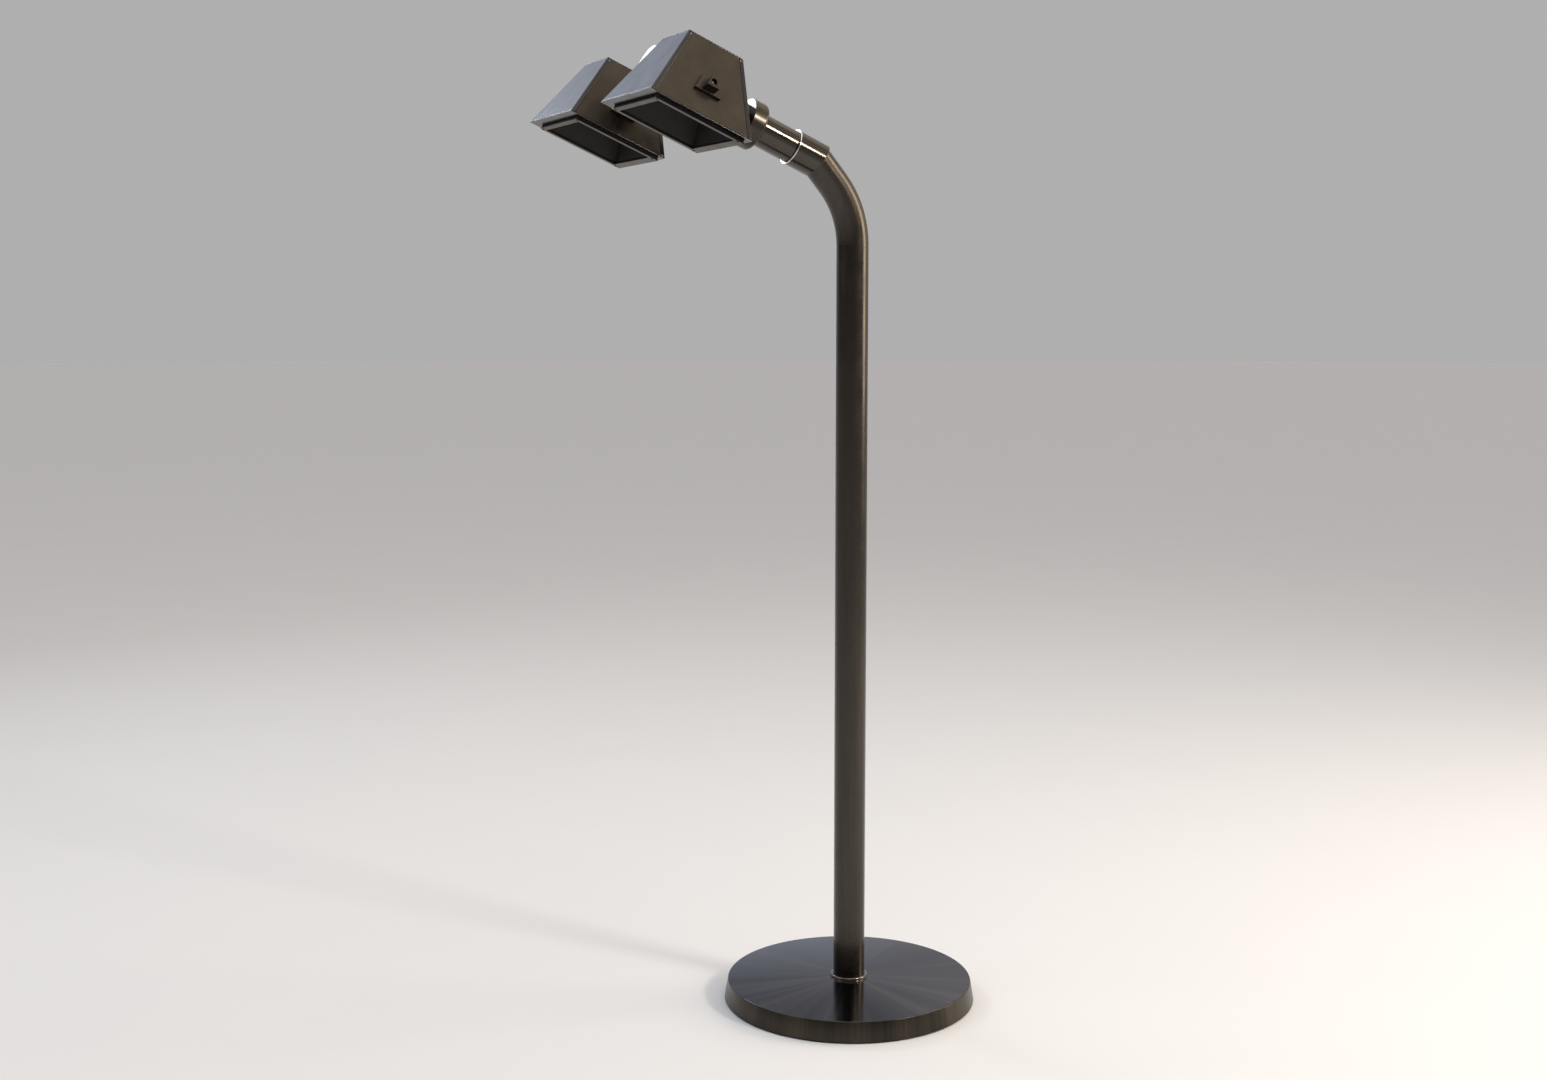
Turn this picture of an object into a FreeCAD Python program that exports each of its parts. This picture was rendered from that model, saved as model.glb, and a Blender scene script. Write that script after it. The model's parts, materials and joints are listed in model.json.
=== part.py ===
import FreeCAD, Part

import math
import os

from FreeCAD import Placement, Rotation, Vector

# Twin-hood area light on a bent post with a round weighted base.
# Units are millimetres.  Row frame: origin on the floor at the post's axis,
# +Z up, and the arm reaches out towards -X.  The head is drawn in its own
# frame, (t, s, n): t runs out along the arm from the point where the arm's
# axis meets the post's axis, s points towards -Y and n is up and square to
# the arm.  Each hood is drawn in a frame of its own, (u, v, w), which lies
# parallel to (t, s, n) with its origin at the centre of the hood's rim.

# ---------------------------------------------------------------- dimensions
# fits
SLIP = 0.05             # radial clearance of a shaft that turns in its bore
SEAT = 0.02             # gap of a tube that stays where it is pushed
GAP = 0.3               # gap between pieces that move past each other
JOINT_LINE = 0.15       # half of the line between two flush plates

# base
BASE_R = 242.0          # radius at the floor
BASE_SLOPE_IN = 7.0     # how far the side leans in on its way up
BASE_H = 40.0           # height of the top edge
BASE_CROWN = 3.0        # rise of the top from its edge to the post
BASE_SKIN = 2.5         # thickness of the spun cover
BASE_LIFT = 2.0         # gap between the cover's edge and the floor
WEIGHT_GAP = 1.5        # between the weight and the cover's skin
PAD_INSET = 3.0         # of the rubber pad, in from the weight's edge
PAD_T = 6.0
FLANGE_OUT = 18.0       # the socket's flange, out from the post's surface
FLANGE_H = 9.0
SOCKET_LEN = 95.0       # how far the socket reaches up inside the post
CABLE_HOLE_R = 5.0      # cable hole up through the socket
CABLE_SLOT = 12.0       # width and depth of the cable's slot in the weight
BOLT_R = 10.0
BOLT_PLAY = 0.5         # round the bolt in the weight
BOLT_HEAD_R = 18.0
BOLT_HEAD_H = 11.0
BOLT_HEAD_ROOM = 4.0    # round the bolt's head
BOLT_GRIP = 60.0        # length of the bolt inside the socket
FOOT_RING_OUT = 6.5     # trim ring round the post's foot, out from the post
FOOT_RING_H = 5.0
FOOT_RING_EDGE = 3.5
GLAND_R = 9.0           # its nut
GLAND_BODY_R = 7.0
GLAND_LEN = 16.0
GLAND_IN = 15.0         # from the base's edge in to the gland's inner end
GLAND_NUT_T = 4.0
GLAND_NUT_IN = 12.0
GLAND_BORE_R = 3.6
GLAND_Z = 18.0
GLAND_ROOM = (26.0, 30.0, 24.0)     # pocket for the gland in the weight

# post and arm
POST_R = 30.0
POST_WALL = 3.2
BEND_R = 170.0          # radius of the bend, on the axis
BEND_TURN = 41.0        # degrees; the rest of the turn is the mitre's
MITRE_T = 84.0          # where the bent post meets the arm's axis, cut to a mitre
AXIS_Z = 1566.0         # height at which the arm's axis meets the post's axis
ARM_RISE = 23.0         # degrees above level
POST_STUB = 28.0        # length of the post's stub beyond the mitre
CORE_WALL = 4.0
CORE_LEAD = 3.0         # from the mitre's furthest point to the core
CORE_LEN = 103.0
SLEEVE_WALL = 3.2
SLEEVE_LEN = 55.0       # on the axis, from the mitre
LIP_OUT = 1.0           # how far the lip stands out from the sleeve
LIP_LEN = 2.2
GRUB_R = 4.0
GRUB_SOCKET_DEEP = 2.0
SLEEVE_SCREW_BACK = 13.0    # from the sleeve's mouth back to its screws

# collars on the arm
COLLAR_WALL = 14.0
COLLAR_EDGE = 6.0       # radius of a collar's rounded edge, towards the post
HUB_EDGE = 1.0          # radius of the sharper edges
COLLAR_SCREW_SUNK = 1.5
REAR_COLLAR_LEAD = 77.0     # from the sleeve's mouth to the rear collar
REAR_COLLAR_LEN = 30.5
HUB_T = 417.0
HUB_LEN = 34.0
HUB_FACE_T = 8.0        # thickness of the hub's closed face
SHAFT_SLOT = 19.0       # room for the cross shaft between hub and mid collar
MID_COLLAR_LEN = 19.0

# cross shaft and tilt joints
SHAFT_R = 8.0
TILT_HUB_R = 13.5
TILT_HUB_BORE_WALL = 3.5
TILT_HUB_OUT = 17.0     # how far the tilt hub stands off the hood's side
TILT_HUB_IN = 12.0      # how far its spigot reaches into the hood
CLAMP_R = 14.5
CLAMP_LEN = 8.0
RETAINER_R = 11.0
RETAINER_LEN = 3.0

# hoods
HOOD_OFF = 175.0        # from the arm's axis to a hood's centre
HOOD_T = 429.0          # where a hood's centre lies along the arm
PIVOT_BELOW_TOP = 23.0  # from a hood's flat top down to the tilt axis
HOOD_LEN = 194.0        # at the rim, along the arm
HOOD_WID = 212.0        # at the rim, across the arm
HOOD_TOP_LEN = 105.0
HOOD_TOP_WID = 105.0
HOOD_H = 132.0
HOOD_WALL = 2.5
STRIP_W = 8.0           # folded edge of an end plate, beside a side panel
RIM_W = 22.0            # width of the rim's flange, before the mouth's shift
MOUTH_SHIFT = -3.6      # of the mouth's centre along u, towards the post
RIM_MARGIN_OUT = 18.0   # from the hood's edge in to the trim ring, away from the post
RIM_MARGIN_IN = 5.6     # the same on the post's side
RIM_MARGIN_SIDE = 14.5
RING_W = 10.0
RING_W_IN = 15.3        # width of the ring's member on the post's side
RING_T = 2.0
RING_GAP = 3.4          # from the rim down to the trim ring
TRAY_INSET = 1.8        # the tray's flange, in from the trim ring's edge
TRAY_WALL = 1.6
TRAY_H = 64.0
TRAY_TOP_HALF = 56.0
TRAY_LEDGE = 4.0
LENS_T = 3.0
LENS_INSET = 1.0
REFLECTOR_INSET = 6.0   # its foot, in from the tray's top
REFLECTOR_TOP_HALF = 31.0
REFLECTOR_H = 30.0
REFLECTOR_WALL = 1.4
BOARD_HALF = 36.0
BOARD_T = 2.0
CHIP_R = 14.0
CHIP_T = 1.5
SINK_ROOM_U = 8.0       # between the heat sink and the hood's walls at the top
SINK_ROOM_V = 12.0
SINK_BASE_T = 4.0
FIN_T = 2.0
FIN_COUNT = 9
SCREW_R = 1.7
SCREW_IN = 4.0          # from the top's corner in to a panel screw
SCREW_DOWN = 6.0        # from the top down to it, along the slope
RING_SCREW_R = 2.4
RING_SCREW_TIP_R = 1.7
RING_SCREW_H = 1.2

# lock on each hood's side
LOCK_PLATE_W = 49.0     # along its lower edge
LOCK_PLATE_H = 30.0
LOCK_PLATE_T = 6.0
LOCK_PLATE_Y = 41.5     # lower edge, measured up the sloping side
LOCK_BLOCK_W = 23.0
LOCK_BLOCK_H = 20.0
LOCK_BLOCK_T = 14.0
LOCK_LEAN = 18.5        # degrees that the ends of plate and block lean in
KEY_ARCH_W = 9.8
KEY_ARCH_H = 10.0
KEY_ARCH_DEEP = 9.0
SPINDLE_R = 3.6
SPINDLE_IN = 13.0
KEY_SQUARE = 4.6
KEY_LEN = 4.0
CAM_LEN = 30.0
CAM_W = 10.0
CAM_T = 3.0
CAM_EYE_WALL = 3.4
CAM_BACK = 1.0          # from the spindle's inner end to the cam

# ------------------------------------------------------------ derived sizes
POST_IN_R = POST_R - POST_WALL
CORE_R = POST_IN_R - SLIP
SOCKET_R = POST_IN_R - SEAT
BASE_TOP_R = BASE_R - BASE_SLOPE_IN
BASE_TOP_Z = BASE_H + BASE_CROWN
WEIGHT_R = BASE_TOP_R - BASE_SKIN - WEIGHT_GAP
WEIGHT_TOP_Z = BASE_H - BASE_SKIN - SEAT
PAD_R = WEIGHT_R - PAD_INSET
FLANGE_R = POST_R + FLANGE_OUT
FOOT_RING_R = POST_R + FOOT_RING_OUT
SOCKET_Z = WEIGHT_TOP_Z - FLANGE_H
CABLE_HOLE_OFF = (BOLT_R + SOCKET_R) / 2
BOLT_HEAD_Z = PAD_T + 1.0
MITRE_ANGLE = (90 - ARM_RISE - BEND_TURN) / 2
MITRE_SLOPE = math.tan(math.radians(MITRE_ANGLE))
POST_END_T = MITRE_T + POST_STUB
SLEEVE_R = POST_R + SLEEVE_WALL
SLEEVE_END_T = MITRE_T + SLEEVE_LEN
SLEEVE_SCREW_T = SLEEVE_END_T - SLEEVE_SCREW_BACK
LIP_R = SLEEVE_R + LIP_OUT
CORE_START_T = MITRE_T + POST_R * MITRE_SLOPE + CORE_LEAD
CORE_END_T = CORE_START_T + CORE_LEN
ARM_START_T = POST_END_T + 2 * GAP
ARM_END_T = HUB_T + HUB_LEN - HUB_FACE_T
COLLAR_R = POST_R + COLLAR_WALL
REAR_COLLAR_T = SLEEVE_END_T + REAR_COLLAR_LEAD
MID_COLLAR_T = HUB_T - SHAFT_SLOT - MID_COLLAR_LEN
SHAFT_T = HUB_T - SHAFT_SLOT / 2
HOOD_DROP = HOOD_H - PIVOT_BELOW_TOP
SIDE_LEAN = (HOOD_WID - HOOD_TOP_WID) / 2 / HOOD_H
END_LEAN = (HOOD_LEN - HOOD_TOP_LEN) / 2 / HOOD_H
SIDE_ANGLE = math.atan(SIDE_LEAN)
SLOPE_LEN = HOOD_H / math.cos(SIDE_ANGLE)
PIVOT_U = SHAFT_T - HOOD_T
PIVOT_W = HOOD_DROP
RING_LEN = HOOD_LEN - RIM_MARGIN_OUT - RIM_MARGIN_IN
RING_WID = HOOD_WID - 2 * RIM_MARGIN_SIDE
RING_SHIFT = (RIM_MARGIN_IN - RIM_MARGIN_OUT) / 2
RING_Z = -RING_GAP - RING_T
LENS_HALF = TRAY_TOP_HALF - LENS_INSET
REFLECTOR_BASE_HALF = TRAY_TOP_HALF - REFLECTOR_INSET
SINK_LEN = HOOD_TOP_LEN - 2 * (HOOD_WALL + SINK_ROOM_U)
SINK_WID = HOOD_TOP_WID - 2 * (HOOD_WALL + SINK_ROOM_V)
LENS_W = TRAY_H
BOARD_W = LENS_W + LENS_T + REFLECTOR_H
SINK_W = BOARD_W + BOARD_T
LOCK_Y = LOCK_PLATE_Y + LOCK_PLATE_H / 2

# frame of the head: t, s, n -> X, Y, Z
HEAD = Placement(
    Vector(0, 0, AXIS_Z),
    Rotation(Vector(0, 1, 0), ARM_RISE) * Rotation(Vector(0, 0, 1), 180),
)


# ------------------------------------------------------------------ helpers
def save(name, shape):
    """Write one sub-part, and print its solids and volume."""
    assert shape.isValid(), name
    assert len(shape.Solids) >= 1, name
    shape.exportStep("parts/" + name + ".step")
    print(name, len(shape.Solids), round(shape.Volume))


def placed(shape, placement):
    """A copy of shape, moved by placement."""
    copy = shape.copy()
    copy.transformShape(placement.toMatrix(), True)
    return copy


def revolved(points, axis=Vector(0, 0, 1)):
    """A solid of revolution about Z from (radius, z) points."""
    wire = Part.makePolygon([Vector(r, 0, z) for r, z in points + points[:1]])
    return Part.Face(wire).revolve(Vector(0, 0, 0), axis, 360)


def tube(outer_r, inner_r, low, high):
    """A round tube on the Z axis."""
    solid = Part.makeCylinder(outer_r, high - low, Vector(0, 0, low))
    bore = Part.makeCylinder(inner_r, high - low, Vector(0, 0, low))
    return solid.cut(bore)


def along_arm(shape):
    """Turn a shape from the Z axis onto the arm's axis, in the head's frame."""
    return placed(shape, Placement(Vector(0, 0, 0), Rotation(Vector(0, 1, 0), 90)))


def across_arm(shape, t):
    """Turn a shape from the Z axis onto the cross shaft's axis."""
    turn = Rotation(Vector(1, 0, 0), -90)
    return placed(shape, Placement(Vector(t, 0, 0), turn))


def rectangle(half_u, half_v, w, shift):
    """A closed rectangular wire at height w, its centre moved by shift along u."""
    corners = [(-1, -1), (1, -1), (1, 1), (-1, 1), (-1, -1)]
    return Part.makePolygon([Vector(i * half_u + shift, j * half_v, w) for i, j in corners])


def pyramid(low, high, low_half, high_half, low_shift=0.0, high_shift=0.0):
    """A truncated pyramid between two rectangles, given as (half_u, half_v)."""
    wires = [
        rectangle(*low_half, low, low_shift),
        rectangle(*high_half, high, high_shift),
    ]
    return Part.makeLoft(wires, True, True)


def plate(low, high, half, shift=0.0):
    """A flat rectangular plate, or the block that cuts such a hole."""
    return pyramid(low, high, half, half, shift, shift)


def hood_half(w, inset=0.0):
    """Half length and half width of the hood at height w, less inset."""
    return (
        HOOD_LEN / 2 - END_LEAN * w - inset,
        HOOD_WID / 2 - SIDE_LEAN * w - inset,
    )


def hood_slice(low, high, inset=0.0):
    """The hood's outer block between two heights."""
    return pyramid(low, high, hood_half(low, inset), hood_half(high, inset))


def on_side(shape, sign):
    """Place a shape drawn on the sloping side of a hood.

    The shape's X runs along u, its Y up the slope from the rim, and its Z
    straight out of the side at v = sign * HOOD_WID / 2.
    """
    tilt = 90 - math.degrees(SIDE_ANGLE)
    turn = Rotation(Vector(0, 0, 1), 90 + 90 * sign) * Rotation(Vector(1, 0, 0), tilt)
    return placed(shape, Placement(Vector(0, sign * HOOD_WID / 2, 0), turn))


def leaning_plate(width, height, low_y, low_z, high_z, lean):
    """A plate with a straight lower edge and ends that lean in, in side axes."""
    narrow = height * math.tan(math.radians(lean))
    points = [
        (-width / 2, low_y),
        (width / 2, low_y),
        (width / 2 - narrow, low_y + height),
        (-width / 2 + narrow, low_y + height),
    ]
    corners = [Vector(x, y, low_z) for x, y in points + points[:1]]
    return Part.Face(Part.makePolygon(corners)).extrude(Vector(0, 0, high_z - low_z))


def side_window(gap):
    """The block that parts a side panel from the end plates beside it."""
    inset = STRIP_W + gap
    lean = math.degrees(math.atan((HOOD_LEN - HOOD_TOP_LEN) / 2 / SLOPE_LEN))
    inset_u = inset / math.cos(math.radians(lean))
    reach = 12.0
    width = HOOD_LEN - 2 * inset_u + 2 * reach * math.tan(math.radians(lean))
    return leaning_plate(width, SLOPE_LEN + 2 * reach, -reach, -reach, reach, lean)


def round_edges(shape, radius, wanted):
    """Fillet the edges that the function wanted picks."""
    return shape.makeFillet(radius, [edge for edge in shape.Edges if wanted(edge)])


# --------------------------------------------------------------------- base
def base_cover():
    """Spun steel cover: sloping side, crowned top, hole for the post."""
    side = (BASE_R - BASE_TOP_R) / BASE_H
    foot_r = BASE_R - side * BASE_LIFT
    hole_r = POST_R + SEAT
    outside = [(hole_r, BASE_TOP_Z), (BASE_TOP_R, BASE_H), (foot_r, BASE_LIFT)]
    inside = [
        (foot_r - BASE_SKIN, BASE_LIFT),
        (BASE_TOP_R - BASE_SKIN, BASE_H - BASE_SKIN),
        (hole_r, BASE_TOP_Z - BASE_SKIN),
    ]
    cover = revolved(outside + inside)
    return cover.cut(gland_bar(GLAND_BODY_R, 2 * GLAND_IN, 3 * GLAND_LEN))


def gland_bar(radius, inward, length):
    """A round bar on the gland's axis, from inward of the base's edge."""
    start = Vector(BASE_R - inward, 0, GLAND_Z)
    return Part.makeCylinder(radius, length, start, Vector(1, 0, 0))


def base_weight():
    """Cast disc under the cover, with a seat for the socket and its bolt."""
    disc = Part.makeCylinder(WEIGHT_R, WEIGHT_TOP_Z - PAD_T, Vector(0, 0, PAD_T))
    seat = Part.makeCylinder(FLANGE_R + GAP, FLANGE_H, Vector(0, 0, SOCKET_Z))
    bore = Part.makeCylinder(BOLT_R + BOLT_PLAY, WEIGHT_TOP_Z)
    head_top = BOLT_HEAD_Z + BOLT_HEAD_H
    sink = Part.makeCylinder(BOLT_HEAD_R + BOLT_HEAD_ROOM, head_top - PAD_T, Vector(0, 0, PAD_T))
    slot = Part.makeBox(
        WEIGHT_R, CABLE_SLOT, CABLE_SLOT,
        Vector(FLANGE_R - CABLE_SLOT, -CABLE_SLOT / 2, WEIGHT_TOP_Z - CABLE_SLOT))
    deep, wide, high = GLAND_ROOM
    room = Part.makeBox(
        deep, wide, high, Vector(WEIGHT_R - deep + PAD_INSET, -wide / 2, GLAND_Z - high / 2 + 2))
    return disc.cut([seat, bore, sink, slot, room])


def foot_pad():
    """Rubber pad that the base stands on."""
    return Part.makeCylinder(PAD_R, PAD_T)


def pole_socket():
    """Flanged plug that the post is pushed over."""
    flange = Part.makeCylinder(FLANGE_R, FLANGE_H, Vector(0, 0, SOCKET_Z))
    plug = Part.makeCylinder(SOCKET_R, SOCKET_LEN, Vector(0, 0, WEIGHT_TOP_Z))
    bore = Part.makeCylinder(BOLT_R, FLANGE_H + BOLT_GRIP, Vector(0, 0, SOCKET_Z))
    cable = Part.makeCylinder(
        CABLE_HOLE_R, SOCKET_LEN + FLANGE_H + 2, Vector(CABLE_HOLE_OFF, 0, SOCKET_Z - 1))
    return flange.fuse(plug).removeSplitter().cut([bore, cable])


def base_bolt():
    """Hexagon bolt that pulls the socket down onto the weight."""
    corners = [math.radians(60 * step) for step in range(7)]
    outline = Part.makePolygon([
        Vector(BOLT_HEAD_R * math.cos(a), BOLT_HEAD_R * math.sin(a), BOLT_HEAD_Z)
        for a in corners
    ])
    head = Part.Face(outline).extrude(Vector(0, 0, BOLT_HEAD_H))
    top = SOCKET_Z + FLANGE_H + BOLT_GRIP
    shank_low = BOLT_HEAD_Z + BOLT_HEAD_H
    shank = Part.makeCylinder(BOLT_R - SEAT, top - shank_low, Vector(0, 0, shank_low))
    return head.fuse(shank).removeSplitter()


def pole_foot_ring():
    """Small rounded trim ring where the post enters the cover."""
    ring = tube(FOOT_RING_R, POST_R + SEAT, BASE_TOP_Z, BASE_TOP_Z + FOOT_RING_H)
    crown = BASE_CROWN * (FOOT_RING_R - POST_R) / (BASE_TOP_R - POST_R)
    skirt = tube(FOOT_RING_R, POST_R + SEAT, BASE_TOP_Z - crown, BASE_TOP_Z)
    cone = Part.makeCone(
        BASE_TOP_R, POST_R, BASE_CROWN, Vector(0, 0, BASE_H))
    ring = ring.fuse(skirt.cut(cone)).removeSplitter()
    top = BASE_TOP_Z + FOOT_RING_H

    def outer_top(edge):
        box = edge.BoundBox
        return box.ZMin > top - 0.01 and box.XLength > 2 * FOOT_RING_R - 1

    return round_edges(ring, FOOT_RING_EDGE, outer_top)


def cable_gland():
    """Gland in the side of the base, opposite the arm."""
    body = gland_bar(GLAND_BODY_R - SEAT, GLAND_IN, GLAND_LEN)
    nut = gland_bar(GLAND_R, GLAND_NUT_IN, GLAND_NUT_T)
    bore = gland_bar(GLAND_BORE_R, 2 * GLAND_IN, 3 * GLAND_LEN)
    return body.fuse(nut).removeSplitter().cut(bore)


# ------------------------------------------------------------ post and arm
def bent_path(start_z):
    """The post's centre line: straight, one bend, straight past the mitre."""
    turn = math.radians(BEND_TURN)
    rise = math.radians(ARM_RISE)
    across = BEND_R * (1 - math.cos(turn))
    up = BEND_R * math.sin(turn)
    run = (MITRE_T * math.cos(rise) - across) / math.sin(turn)
    mitre_z = AXIS_Z + MITRE_T * math.sin(rise)
    bend_z = mitre_z - run * math.cos(turn) - up
    low = Vector(0, 0, bend_z)
    half = turn / 2
    middle = low + Vector(BEND_R * (math.cos(half) - 1), 0, BEND_R * math.sin(half))
    high = low + Vector(-across, 0, up)
    past = run + 2 * POST_R
    end = high + Vector(-past * math.sin(turn), 0, past * math.cos(turn))
    return Part.Wire([
        Part.LineSegment(Vector(0, 0, start_z), low).toShape(),
        Part.Arc(low, middle, high).toShape(),
        Part.LineSegment(high, end).toShape(),
    ])


def past_mitre():
    """A block that holds everything beyond the mitre, in the head's frame."""
    reach = 10 * POST_R
    block = Part.makeBox(reach, reach, reach, Vector(0, -reach / 2, -reach / 2))
    turn = Rotation(Vector(0, 1, 0), -MITRE_ANGLE)
    return placed(block, Placement(Vector(MITRE_T, 0, 0), turn))


def bent_bar(radius):
    """A solid round bar along the post, with the stub beyond the mitre."""
    low = WEIGHT_TOP_Z
    circle = Part.makeCircle(radius, Vector(0, 0, low), Vector(0, 0, 1))
    bend = bent_path(low).makePipeShell([Part.Wire(circle)], True, True)
    bend = bend.cut(placed(past_mitre(), HEAD))
    stub = along_arm(Part.makeCylinder(radius, POST_END_T))
    stub = stub.common(past_mitre())
    return bend.fuse(placed(stub, HEAD))


def pole_tube():
    """The post: a bent tube, mitred and welded to a stub on the arm's axis."""
    return bent_bar(POST_R).cut(bent_bar(POST_IN_R))


def arm_ring(outer_r, inner_r, low_t, high_t, low_edge=0.0, high_edge=0.0):
    """A ring on the arm's axis, with its two outer edges rounded."""
    ring = tube(outer_r, inner_r, low_t, high_t)
    for edge_r, t in ((low_edge, low_t), (high_edge, high_t)):
        if edge_r:
            ring = round_edges(ring, edge_r, lambda edge: is_circle(edge, outer_r, t))
    return along_arm(ring)


def is_circle(edge, radius, z):
    """True for a circle of the given radius at height z."""
    curve = edge.Curve
    if not isinstance(curve, Part.Circle):
        return False
    return abs(curve.Radius - radius) < 1e-6 and abs(curve.Center.z - z) < 1e-6


def radial_screws(low_r, high_r, t, angles):
    """Grub screws pointing at the arm's axis, at the given angles about it."""
    screws = []
    for angle in angles:
        screw = Part.makeCylinder(GRUB_R - SEAT, high_r - low_r, Vector(0, 0, low_r))
        floor = high_r - GRUB_SOCKET_DEEP
        recess = Part.makeCylinder(GRUB_R / 2, GRUB_SOCKET_DEEP, Vector(0, 0, floor))
        turn = Rotation(Vector(1, 0, 0), angle)
        screws.append(placed(screw.cut(recess), Placement(Vector(t, 0, 0), turn)))
    return screws


def screw_holes(high_r, t, angles):
    """The threaded holes for radial_screws."""
    holes = []
    for angle in angles:
        hole = Part.makeCylinder(GRUB_R, high_r + 5, Vector(0, 0, 0))
        holes.append(placed(hole, Placement(Vector(t, 0, 0), Rotation(Vector(1, 0, 0), angle))))
    return holes


SLEEVE_ANGLES = (60, 100)       # on the side turned away from the hoods' locks
COLLAR_ANGLES = (80,)


def coupler_sleeve():
    """Outer sleeve that joins the post to the arm."""
    sleeve = arm_ring(SLEEVE_R, POST_R + SLIP, 0, SLEEVE_END_T)
    sleeve = sleeve.common(past_mitre())
    return sleeve.cut(screw_holes(SLEEVE_R, SLEEVE_SCREW_T, SLEEVE_ANGLES))


def arm_tube():
    """Straight arm, bored across for the cross shaft."""
    arm = arm_ring(POST_R, POST_IN_R, ARM_START_T, ARM_END_T)
    return arm.cut(cross_bore())


def cross_bore():
    """The hole that the cross shaft fills."""
    return across_arm(Part.makeCylinder(SHAFT_R, 4 * POST_R, Vector(0, 0, -2 * POST_R)), SHAFT_T)


def collar(low_t, length, low_edge):
    """A clamp collar with rounded edges and one screw hole."""
    ring = arm_ring(COLLAR_R, POST_R, low_t, low_t + length, low_edge, HUB_EDGE)
    return ring.cut(screw_holes(COLLAR_R, low_t + length / 2, COLLAR_ANGLES))


def end_hub():
    """Collar with a closed outer face, over the arm's end."""
    plug = Part.makeCylinder(COLLAR_R, HUB_LEN, Vector(0, 0, HUB_T))
    for z in (HUB_T, HUB_T + HUB_LEN):
        plug = round_edges(plug, HUB_EDGE, lambda edge: is_circle(edge, COLLAR_R, z))
    plug = along_arm(plug.cut(Part.makeCylinder(POST_R, ARM_END_T - HUB_T, Vector(0, 0, HUB_T))))
    return plug.cut(screw_holes(COLLAR_R, HUB_T + HUB_LEN / 2, COLLAR_ANGLES))


def collar_screws():
    """One grub screw in each collar and in the end hub."""
    centres = (
        REAR_COLLAR_T + REAR_COLLAR_LEN / 2,
        MID_COLLAR_T + MID_COLLAR_LEN / 2,
        HUB_T + HUB_LEN / 2,
    )
    screws = []
    for t in centres:
        screws += radial_screws(POST_R, COLLAR_R - COLLAR_SCREW_SUNK, t, COLLAR_ANGLES)
    return Part.makeCompound(screws)


# -------------------------------------------------------------- cross shaft
def wall_v(w):
    """Half width of a hood's outer face at height w."""
    return HOOD_WID / 2 - SIDE_LEAN * w


HUB_FACE_S = HOOD_OFF - wall_v(PIVOT_W) - TILT_HUB_OUT      # outer end of the tilt hub
HUB_TIP_S = HOOD_OFF - wall_v(PIVOT_W) + TILT_HUB_IN        # inner end of its spigot


def cross_shaft():
    """One bar through the arm that carries both hoods."""
    half = HUB_TIP_S + GAP + RETAINER_LEN
    return across_arm(Part.makeCylinder(SHAFT_R, 2 * half, Vector(0, 0, -half)), SHAFT_T)


def shaft_rings(radius, low_s, length, bore):
    """A ring at each end of the cross shaft, as one group."""
    ring = tube(radius, bore, low_s, low_s + length)
    other = tube(radius, bore, -low_s - length, -low_s)
    return Part.makeCompound([across_arm(ring, SHAFT_T), across_arm(other, SHAFT_T)])


# -------------------------------------------------------------------- hoods
def hood_walls(low, high):
    """The four sloping walls of a hood between two heights."""
    return hood_slice(low, high).cut(hood_slice(low - 1, high + 1, HOOD_WALL))


def hub_hole(side):
    """The hole for the tilt hub's spigot, through the side that faces the arm."""
    radius = SHAFT_R + TILT_HUB_BORE_WALL
    hole = Part.makeCylinder(radius, HOOD_WID, Vector(0, 0, 0), Vector(0, side, 0))
    hole.translate(Vector(PIVOT_U, 0, PIVOT_W))
    return hole


def end_plates():
    """Two end plates, each with folded edges beside the side panels."""
    walls = hood_walls(HOOD_WALL, HOOD_H - HOOD_WALL)
    for sign in (1, -1):
        walls = walls.cut(on_side(side_window(-JOINT_LINE), sign))
    return walls


def side_panel(sign, arm_side):
    """Side panel between the end plates, holed for what passes through it."""
    walls = hood_walls(HOOD_WALL, HOOD_H - HOOD_WALL)
    panel = walls.common(on_side(side_window(JOINT_LINE), sign))
    if sign == arm_side:
        panel = panel.cut(hub_hole(sign))
    if sign == 1:
        panel = panel.cut(on_side(spindle_bore(), 1))
    return panel


def top_plate():
    """Flat top of a hood."""
    return hood_slice(HOOD_H - HOOD_WALL, HOOD_H)


def rim_frame():
    """Flange that closes the rim and carries the tray and the trim ring."""
    low = hood_slice(0, HOOD_WALL)
    return low.cut(plate(-1, HOOD_WALL + 1, mouth_half(), MOUTH_SHIFT))


def mouth_half():
    """Half size of the hole in the rim."""
    return (HOOD_LEN / 2 - RIM_W, HOOD_WID / 2 - RIM_W)


def panel_screws():
    """Dome screws at the top corners of both sides."""
    screws = []
    top_half = HOOD_TOP_LEN / 2
    for sign in (1, -1):
        for end in (1, -1):
            head = Part.makeSphere(SCREW_R)
            head = head.cut(Part.makeBox(10, 10, 10, Vector(-5, -5, -10)))
            head.translate(Vector(end * (top_half - SCREW_IN), SLOPE_LEN - SCREW_DOWN, 0))
            screws.append(on_side(head, sign))
    return Part.makeCompound(screws)


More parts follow.
